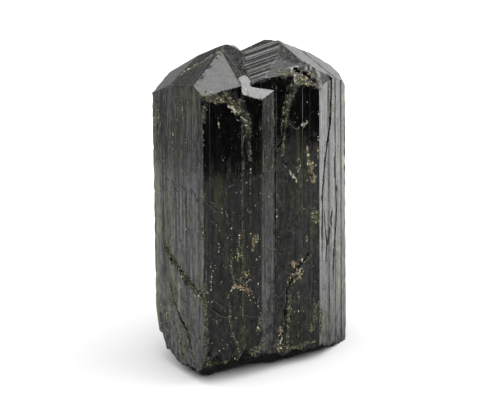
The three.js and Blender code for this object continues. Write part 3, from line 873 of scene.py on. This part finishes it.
def grit():
    # scattered small grains: a mask of dots and a random number for each
    group, board, source, target = newGroup("grit", ["Spacing", "Dot", "Share"], ["Mask", "Pick"])
    inputs = {"Vector": source["Vector"], "Scale": board.perMetre(source["Spacing"])}
    cells = board.add("ShaderNodeTexVoronoi", inputs)
    pick = board.add("ShaderNodeSeparateColor", {0: cells.outputs["Color"]}).outputs
    size = board.times(source["Dot"], board.plus(pick[1], 0.4))
    dot = board.range(cells.outputs["Distance"], board.times(size, 0.6), size, 1, 0)
    shown = board.math("LESS_THAN", pick[0], source["Share"])
    board.plug(board.times(dot, shown), target["Mask"])
    board.plug(pick[2], target["Pick"])
    return group


def nicks():
    # short wriggling lines in loose swarms: fine cracks, scuffs and threads of crust
    group, board, source, target = newGroup("nicks", ["Size", "Width", "Share"], ["Mask"])
    spot = board.scaled(source["Vector"], board.perMetre(source["Size"]))
    line = board.noise(board.stretch(spot, (1, 1, 0.7)), 2, 0.6, 0.6)
    off = board.math("ABSOLUTE", board.less(line, 0.5))
    swarm = board.noise(board.stretch(spot, (0.9, 0.9, 0.6), (4.1, 7.7, 2.9)))
    shown = board.range(swarm, source["Share"], board.plus(source["Share"], 0.05))
    line = board.range(off, board.times(source["Width"], 0.4), source["Width"], 1, 0)
    board.plug(board.times(line, shown), target["Mask"])
    return group


growthLinesGroup = growthLines()
mottleGroup = mottle()
gritGroup = grit()
nicksGroup = nicks()


def newMaterial(name):
    # the material, its shader, a board for its nodes and the Object coordinates
    material = bpy.data.materials.new(name)
    material.use_nodes = True
    board = Board(material.node_tree)
    place = board.add("ShaderNodeTexCoord").outputs["Object"]
    return material, material.node_tree.nodes["Principled BSDF"], board, place


def finishMaterial(board, shader, color, rough, height, strength, distance):
    # plugs in colour, roughness and a bump of this height, whose distance is in mm
    inputs = {"Strength": strength, "Distance": distance * mm, "Height": height}
    bump = board.add("ShaderNodeBump", inputs)
    board.plug(color, shader.inputs["Base Color"])
    board.plug(rough, shader.inputs["Roughness"])
    board.plug(bump.outputs["Normal"], shader.inputs["Normal"])


stoneLook = {
    "black": (0.0012, 0.0013, 0.0012),
    "greyFilm": (0.059, 0.0588, 0.062, 1),
    "oliveFilm": (0.056, 0.06, 0.04, 1),
    "moss": (0.1, 0.107, 0.04, 1),
    "crustDark": (0.016, 0.017, 0.006, 1),
    "crustLight": (0.2, 0.198, 0.075, 1),
    "fleck": (0.38, 0.37, 0.18, 1),
    "nick": (0.11, 0.112, 0.078, 1),
    "tan": (0.17, 0.14, 0.072, 1),
    "pale": (0.36, 0.345, 0.27, 1),
    # painted shade: near black for cracks, pits and dark nicks
    "crack": (0.0008, 0.0008, 0.0007, 1),
    "ior": 1.75,
    "polished": 0.12,
    "dulled": 0.42,
    "broken": 0.5,
    "crusted": 0.8,
    "faceFilm": (0.1, 0.3),     # grey film on the end faces between their grains and on them
    "footFilm": (0.01, 0.12),   # and on the foot
    "stripeFilm": 0.45,         # on the striped faces' stripes
    "scratchFilm": 0.09,        # in the scratches up the walls
    "mossFilm": 0.24,           # least film where green stains lie
    "linesHeight": 0.044,       # mm of relief of the growth lines
    "hairsHeight": 0.014,       # and of the finest ones
    "combHeight": 0.2,          # of the stripes on the striped faces
    "combPitch": 1,             # mm from one stripe to the next, about
    "grainHeight": 0.008,       # of the end faces' grain
    "crustHeight": 0.12,
    "brokenHeight": 0.1,
    "holeHeight": -0.05,
    "scuffHeight": -0.02,
}


def makeStone(look):
    material, shader, board, place = newMaterial("aegirine")
    plus, times, most, less, span = board.plus, board.times, board.most, board.less, board.range
    around, mixed, mixedValue = board.around, board.mixed, board.mixedValue

    def mottled(size, stretch):
        return board.group(mottleGroup, place, Size=size, Stretch=stretch)["Value"]

    masks = {name: board.attribute(name) for name in (
        "kind", "striped", "comb", "level", "sheenFilmHigh", "sheenFilmLow", "lined", "rim",
        "crust", "tan", "pale", "olive", "hairline", "hairNear")}
    face = span(masks["kind"], 0.15, 0.6)
    foot = span(masks["kind"], -0.3, -0.8)
    wall = less(1, most(face, foot))
    lines = board.group(growthLinesGroup, place, Width=0.42, Length=22)
    hairs = board.group(growthLinesGroup, place, Width=0.17, Length=9)
    stains = mottled(3.4, 3.5)
    patches = mottled(0.8, 2.2)
    blotches = mottled(0.42, 7)
    clumps = mottled(1.1, 1)
    crumble = mottled(0.3, 1)
    dots = board.group(gritGroup, place, Spacing=0.9, Dot=0.1, Share=0.34)
    upright = board.stretch(place, (1.6, 1.6, 0.55))
    dashes = board.group(gritGroup, upright, Spacing=1.3, Dot=0.13, Share=0.3)
    pocks = board.group(gritGroup, place, Spacing=0.75, Dot=0.14, Share=0.4)
    fewer = span(span(masks["crust"], 0, 0.4), 0, 1, 0.5, 0.36)
    darkNicks = board.group(nicksGroup, place, Size=1.2, Width=0.028, Share=fewer)["Mask"]
    aside = board.stretch(place, (1, 1, 1), (0.03, 0.01, 0.02))
    paleNicks = board.group(nicksGroup, aside, Size=0.9, Width=0.018, Share=0.55)["Mask"]

    # where the polish is lost, with a ragged border that follows the growth lines; the grey film
    # below the border is partly a painted reflection of the lit table near the foot
    ragged = plus(around(lines["Tone"], 2.6), around(patches, 9))
    dull = span(plus(masks["level"], ragged), -3, 2, 1, 0)
    filmAndSheen = mixedValue(dull, masks["sheenFilmHigh"], masks["sheenFilmLow"])
    # the streaks are partly painted reflection: they stand for striations mirroring the room
    streaks = plus(times(lines["Tone"], 0.55), times(hairs["Tone"], 0.45))
    streaks = plus(streaks, around(patches, 0.55))
    streaks = span(streaks, 0.15, 0.9, 0.1, 2)
    grain = plus(times(crumble, 0.5), times(patches, 0.5))
    streaks = mixedValue(masks["lined"], span(grain, 0.42, 0.58, 0.1, 1.8), streaks)
    streaks = plus(streaks, times(lines["Scratch"], 0.7))
    gap = times(span(blotches, 0.5, 0.58), span(masks["level"], -3, 1))
    streaks = times(streaks, less(1, times(gap, 0.9)))
    wallFilmAndSheen = plus(times(filmAndSheen, streaks), times(lines["Scratch"], look["scratchFilm"]))
    wallFilmAndSheen = times(wallFilmAndSheen, wall)
    # the stripes are straight and unevenly spaced
    wander = around(board.noise(board.stretch(place, (60, 60, 60)), 1), 0.3)
    comb = plus(masks["comb"], wander)
    inputs = {"W": comb, "Scale": 1 / look["combPitch"], "Detail": 2}
    ridges = board.add("ShaderNodeTexNoise", inputs, noise_dimensions="1D").outputs["Fac"]
    faceFilm = times(face, span(grain, 0.42, 0.58, *look["faceFilm"]))
    stripeFilm = times(span(ridges, 0.44, 0.6), look["stripeFilm"])
    faceFilm = mixedValue(masks["striped"], faceFilm, stripeFilm)
    footFilm = times(foot, span(grain, 0.4, 0.6, *look["footFilm"]))

    # crust, stains and cracks where their paths run; cracks and pits get painted shade
    broken = plus(around(crumble, 0.75), around(clumps, 0.9))
    rimCrust = times(span(masks["rim"], 0, 0.6, 0.5, 0), span(clumps, 0.45, 0.6))
    crust = span(plus(most(masks["crust"], rimCrust), broken), 0.5, 0.68)
    tan = span(plus(masks["tan"], broken), 0.48, 0.64)
    pale = span(plus(masks["pale"], times(broken, 0.8)), 0.45, 0.62)
    moss = plus(masks["olive"], around(lines["Tone"], 0.3), around(patches, 1))
    moss = times(span(moss, 0.45, 0.95), span(hairs["Tone"], 0.1, 0.8, 0.35, 1))
    # painted shade: hairline cracks, pits beside the veins and pocks are drawn near black
    crack = span(board.math("ABSOLUTE", masks["hairline"]), 0.5, 1, 1, 0)
    crack = times(crack, span(masks["hairNear"], 0.2, 0.45))
    nearVein = most(masks["crust"], masks["tan"], masks["pale"])
    holeShade = span(plus(nearVein, around(crumble, -1), around(clumps, -0.5)), 0.6, 0.85)
    holeShade = most(crack, holeShade, times(pocks["Mask"], span(patches, 0.5, 0.6)))
    scuffsAndCrackShade = times(darkNicks, wall, span(filmAndSheen, 0.02, 0.14))

    # colour: black stone under the film and painted sheen, then painted shade in cracks, pits and
    # dark nicks, then crust, pale nicks, grains and pale marks
    filmColor = mixed(span(stains, 0.44, 0.58), look["greyFilm"], look["oliveFilm"])
    filmColor = mixed(moss, filmColor, look["moss"])
    amount = plus(wallFilmAndSheen, faceFilm, footFilm)
    amount = most(amount, times(moss, look["mossFilm"]))
    inputs = {0: board.scaled(filmColor, amount), 1: look["black"]}
    color = board.add("ShaderNodeVectorMath", inputs, operation="ADD").outputs[0]
    color = mixed(most(holeShade, scuffsAndCrackShade), color, look["crack"])
    crustColor = mixed(span(crumble, 0.51, 0.64), look["crustDark"], look["crustLight"])
    color = mixed(crust, color, crustColor)
    color = mixed(tan, color, look["tan"])
    # painted light: pale nicks and specks are drawn stronger where there is film and sheen and on the
    # end faces; the bright specks are partly painted highlights
    lit = plus(filmAndSheen, face)
    color = mixed(times(paleNicks, span(lit, 0, 0.3, 0.1, 0.7)), color, look["nick"])
    specks = times(dashes["Mask"], span(dashes["Pick"], 0.2, 0.8))
    specks = times(most(dots["Mask"], specks), span(patches, 0.42, 0.56, 0, 0.9))
    specks = times(specks, span(lit, 0, 0.3, 0.35, 1))
    fleckColor = mixed(span(dots["Pick"], 0.4, 0.6), look["fleck"], look["pale"])
    color = mixed(specks, color, fleckColor)
    color = mixed(pale, color, look["pale"])

    covered = most(crust, tan, pale)
    rough = mixedValue(times(dull, wall), look["polished"], look["dulled"])
    rough = plus(rough, around(lines["Tone"], 0.05), around(hairs["Tone"], 0.05))
    rough = mixedValue(face, rough, span(grain, 0.4, 0.62, 0.14, 0.32))
    rough = mixedValue(foot, rough, look["broken"])
    rough = mixedValue(most(covered, holeShade), rough, look["crusted"])

    height = plus(
        times(lines["Height"], wall, look["linesHeight"]),
        times(hairs["Height"], wall, look["hairsHeight"]),
        times(ridges, masks["striped"], look["combHeight"]),
        times(grain, face, look["grainHeight"]),
        times(crumble, covered, look["crustHeight"]),
        times(crumble, foot, look["brokenHeight"]),
        times(holeShade, look["holeHeight"]),
        times(scuffsAndCrackShade, look["scuffHeight"]),
    )
    finishMaterial(board, shader, color, rough, height, 1, 1)
    shader.inputs["IOR"].default_value = look["ior"]
    return material


crumbLook = {
    # the cream end is partly painted highlight on the grains
    "tones": [
        (0, (0.02, 0.021, 0.009, 1)),
        (0.2, (0.05, 0.052, 0.018, 1)),
        (0.38, (0.19, 0.188, 0.07, 1)),
        (0.56, (0.52, 0.48, 0.24, 1)),
        (0.64, (0.36, 0.28, 0.15, 1)),
        (0.74, (0.3, 0.17, 0.08, 1)),
        (0.82, (0.3, 0.115, 0.045, 1)),
        (0.9, (0.4, 0.37, 0.28, 1)),
        (1, (0.62, 0.6, 0.5, 1)),
    ],
    "shade": (0.01, 0.01, 0.006, 1),
    "shading": 0.7,             # how much painted shade the grains' hollows take
    "roughness": (0.4, 0.8),
}


def makeCrumbs(look):
    material, shader, board, place = newMaterial("vein crust")
    tone = board.ramp(board.attribute("tone"), look["tones"])
    fleck = board.group(mottleGroup, place, Size=0.16, Stretch=1)["Value"]
    # painted shade: the grains are darkened in low spots of a fine mottle, standing for their hollows
    color = board.mixed(board.range(fleck, 0.56, 0.4, 0, look["shading"]), tone, look["shade"])
    rough = board.range(fleck, 0.3, 0.7, *look["roughness"])
    finishMaterial(board, shader, color, rough, fleck, 0.7, 0.1)
    return material


crystal.data.materials.clear()
crystal.data.materials.append(makeStone(stoneLook))
veinCrumbs.data.materials.append(makeCrumbs(crumbLook))
print("materials made")

shot = {
    "azimuth": -29.7,
    "elevation": 17,
    "lens": 110.16,
    "sensor": 36,
    "distance": 278.46,
    "target": (12.47, 5.45, 28.98),     # on the crystal, mm
    "clip": (0.01, 20),                 # m
}


def placeCamera(shot):
    azimuth = math.radians(shot["azimuth"])
    elevation = math.radians(shot["elevation"])
    level = math.cos(elevation)
    back = Vector((math.sin(azimuth) * level, -math.cos(azimuth) * level, math.sin(elevation)))
    data = bpy.data.cameras.new("camera")
    data.lens = shot["lens"]
    data.sensor_width = shot["sensor"]
    data.clip_start, data.clip_end = shot["clip"]
    camera = bpy.data.objects.new("camera", data)
    camera.location = onCrystal(*shot["target"]) + back * shot["distance"] * mm
    camera.rotation_euler = back.to_track_quat("Z", "Y").to_euler()
    scene.collection.objects.link(camera)
    scene.camera = camera


placeCamera(shot)

# floor, sky light and a painted reflection of the table for the walls to mirror, lengths in metres
studio = {
    "floorSize": 8,
    "floorColor": (0.62, 0.62, 0.62, 1),
    "panelSize": 3,
    "panelDrop": 0.002,
    # painted reflection: brightness of the table round the crystal as the walls mirror it, near it and
    # far from it, by compass: 0 is the front and 0.25 the right, where a bright panel is painted in;
    # a dark band is painted to the front right
    "nearRing": [(0, 0.07), (0.04, 0.06), (0.10, 0.06), (0.16, 0.11), (0.20, 0.24), (0.235, 0.56),
                 (0.30, 0.56), (0.38, 0.3), (0.5, 0.15), (0.56, 0.18), (0.62, 0.18), (0.75, 0.1)],
    "farRing": [(0, 0.05), (0.03, 0.002), (0.11, 0.002), (0.15, 0.015), (0.20, 0.06), (0.235, 0.6),
                (0.30, 0.6), (0.38, 0.25), (0.5, 0.1), (0.56, 0.08), (0.62, 0.08), (0.75, 0.07)],
    "ringBorder": (0.125, 0.158),   # from where one ring goes over into the other
    "paintedShadeBorder": (0.02, 0.05),    # painted shade: the table is drawn darker close to the crystal's foot
    "glow": (0.6, 3),               # in that painted shade and beyond it
    "softbox": (2.8, 2, 4.2),       # overhead: on the left, in the middle, and more on the right
    "backdrop": (0.22, 0.8),        # low behind the crystal: on the left and on the right
    "ambient": 0.14,
}


def stagePlane(name, size, height, material):
    mesh = bmesh.new()
    bmesh.ops.create_grid(mesh, x_segments=1, y_segments=1, size=size / 2)
    plane = newPiece(name, mesh)
    plane.data.materials.append(material)
    plane.location = (0, 0, height)
    return plane


def floorMaterial():
    material, shader, _, _ = newMaterial("pale floor")
    shader.inputs["Base Color"].default_value = studio["floorColor"]
    shader.inputs["Roughness"].default_value = 1
    shader.inputs["Specular IOR Level"].default_value = 0
    return material


def reflectorMaterial():
    material, shader, board, place = newMaterial("reflector")
    # painted reflection: an emitting plane seen only in the walls' reflections, drawn by compass and
    # distance round the crystal and darker near the foot as painted shade
    parts = board.add("ShaderNodeSeparateXYZ", {0: place}).outputs
    compass = board.math("ARCTAN2", parts["X"], board.times(parts["Y"], -1))
    turn = board.math("FRACT", board.plus(board.math("DIVIDE", compass, math.tau), 1))
    radius = board.add("ShaderNodeVectorMath", {0: place}, operation="LENGTH").outputs["Value"]
    near, far = board.ramp(turn, studio["nearRing"]), board.ramp(turn, studio["farRing"])
    light = board.mixed(board.range(radius, *studio["ringBorder"]), near, far)
    strength = board.range(radius, *studio["paintedShadeBorder"], *studio["glow"])
    glow = board.add("ShaderNodeEmission", {"Color": light, "Strength": strength})
    board.tree.nodes.remove(shader)
    board.plug(glow.outputs[0], board.tree.nodes["Material Output"].inputs["Surface"])
    return material


def skyLight():
    # a broad overhead softbox over the camera, brighter to the right, dark cloth behind it
    # and a lit backdrop low down behind
    world = bpy.data.worlds.new("studio")
    world.use_nodes = True
    scene.world = world
    board = Board(world.node_tree)
    direction = board.add("ShaderNodeTexCoord").outputs["Generated"]
    inputs = {"Vector": direction, "Angle": math.radians(-shot["azimuth"])}
    turned = board.add("ShaderNodeVectorRotate", inputs, rotation_type="Z_AXIS").outputs[0]
    parts = board.add("ShaderNodeSeparateXYZ", {0: turned}).outputs
    left, middle, right = studio["softbox"]
    overhead = board.times(board.range(parts["Y"], 0.57, 0.42), board.range(parts["Z"], 0.38, 0.66))
    overhead = board.times(overhead, board.plus(board.range(parts["X"], 0.1, 0.26, left, middle),
                                                board.range(parts["X"], 0.32, 0.75, 0, right)))
    backdrop = board.times(board.range(parts["Z"], 0.36, 0.12), board.range(parts["Y"], 0.2, 0.7))
    backdrop = board.times(backdrop, board.range(parts["X"], -0.15, 0.2, *studio["backdrop"]))
    background = world.node_tree.nodes["Background"].inputs
    board.plug(board.plus(overhead, backdrop, studio["ambient"]), background["Strength"])
    board.plug((1, 1, 1, 1), background["Color"])


floor = stagePlane("floor", studio["floorSize"], 0, floorMaterial())
floor.visible_glossy = False
reflector = stagePlane("reflector", studio["panelSize"], -studio["panelDrop"], reflectorMaterial())
for rays in ("camera", "diffuse", "shadow", "transmission"):
    setattr(reflector, "visible_" + rays, False)
skyLight()
scene.view_settings.view_transform = "Standard"
print("camera and studio placed")
